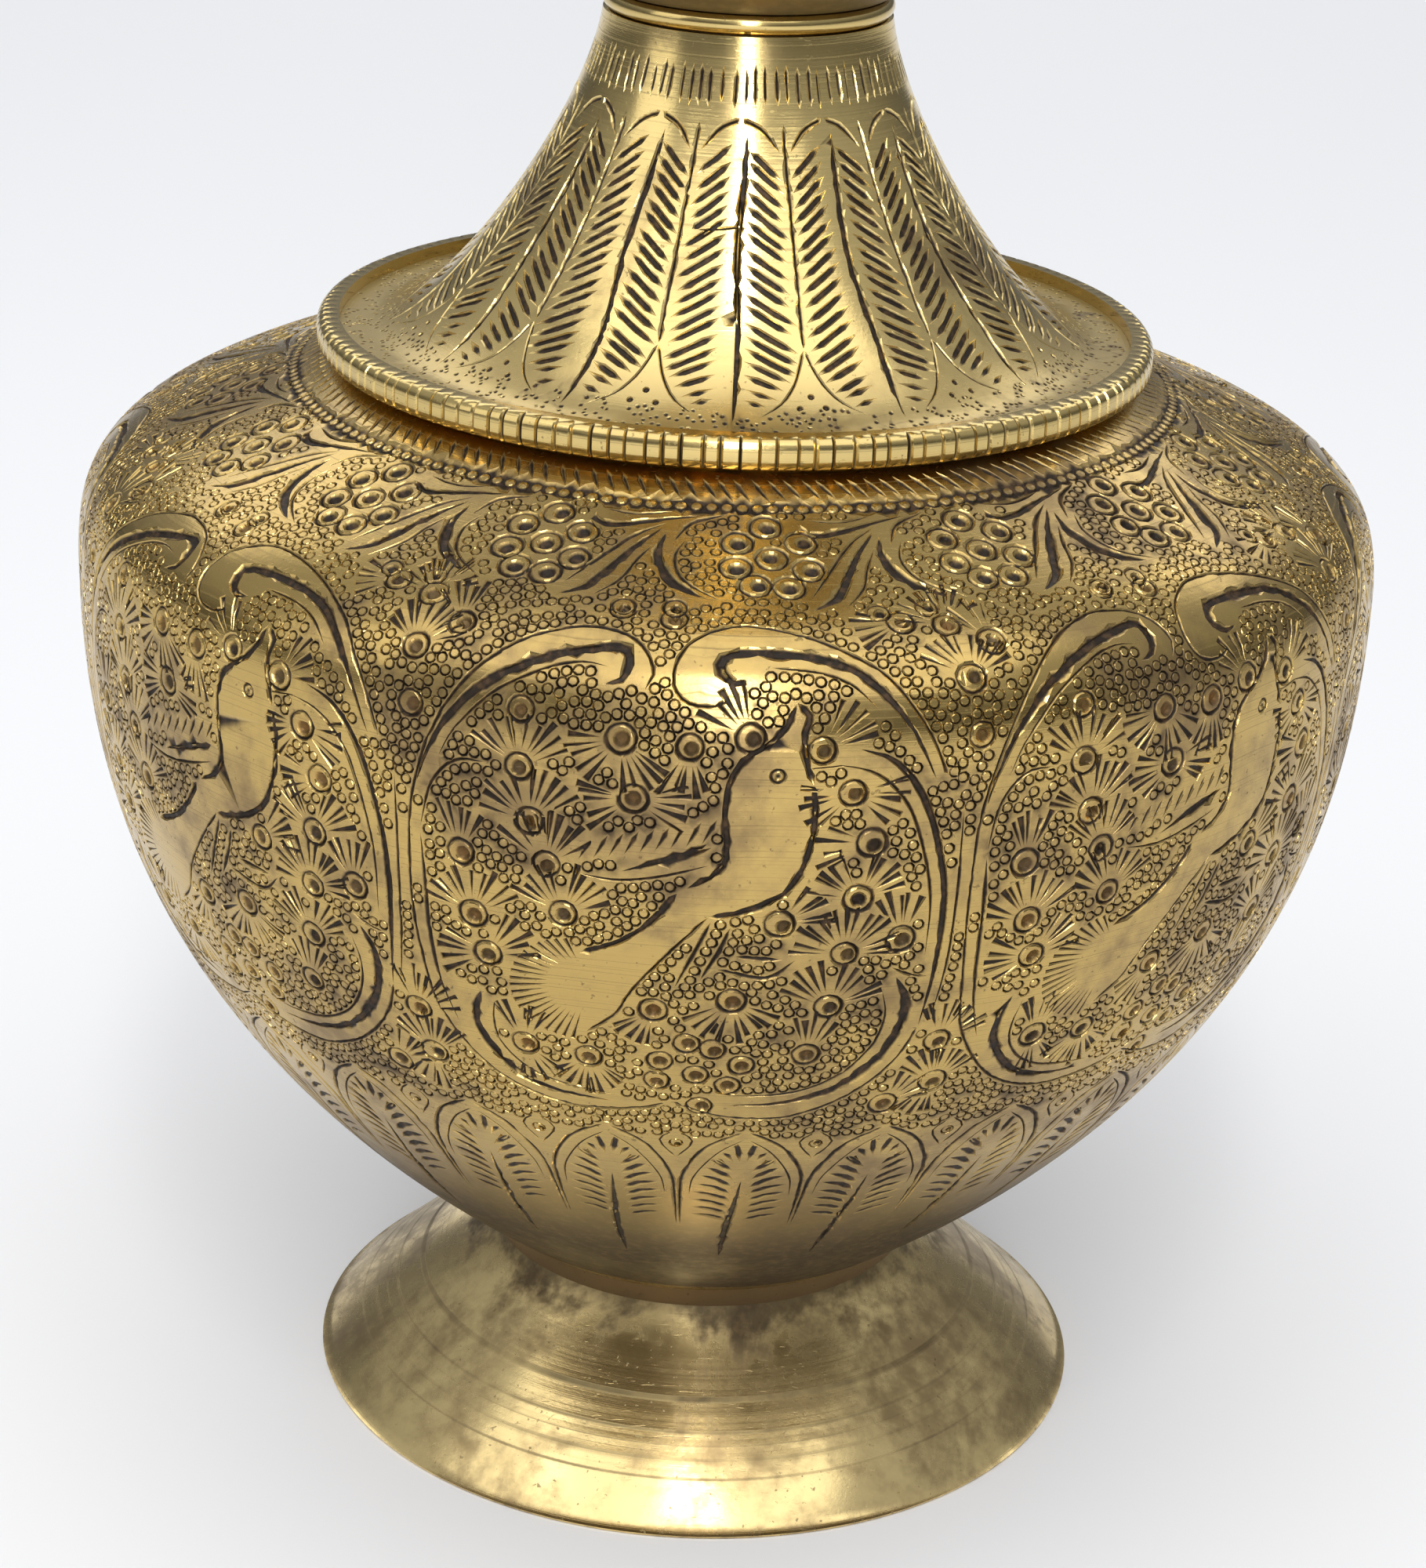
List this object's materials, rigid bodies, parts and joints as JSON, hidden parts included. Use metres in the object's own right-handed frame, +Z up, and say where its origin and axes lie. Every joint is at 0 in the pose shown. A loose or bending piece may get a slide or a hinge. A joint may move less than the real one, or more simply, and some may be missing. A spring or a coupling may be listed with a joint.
{
  "type": "footed brass kalash pot",
  "caption": "Footed brass pot with a round body, cut collar hoop, trumpet neck, knop and flared mouth, engraved all over, brazed from spun sheet sections.",
  "frame": {"origin": "centre of the foot's standing ring, on the surface that the pot stands on", "axes": "+Z up along the axis of turning; the pot is round, so +X and +Y are free, and -Y faces the viewer"},
  "size_m": [0.13, 0.13, 0.2251],
  "materials": {
    "engraved_brass": "engraved and punched, dark patina in the cuts, rubbed bright on top",
    "turned_brass": "turned, fine lines around, mottled patina",
    "bright_brass": "hand-polished, with cuts",
    "inner_brass": "unpolished, oxidised",
    "spelter": "run brazing metal, dull"
  },
  "bodies": {
    "root": {"foot_cone": "turned_brass", "foot_braze": "spelter", "bowl": "engraved_brass", "belly_braze": "spelter", "shoulder": "engraved_brass", "collar_hoop": "bright_brass", "neck_braze": "spelter", "neck_cone": "engraved_brass", "neck_ring": "bright_brass", "neck_sleeve": "inner_brass", "knop_lower_cup": "turned_brass", "knop_braze": "spelter", "knop_upper_cup": "turned_brass", "mouth_sleeve": "inner_brass", "mouth_ring": "bright_brass", "mouth_braze": "spelter", "mouth_flare": "engraved_brass", "lip_bead": "bright_brass"}
  },
  "joints": []
}
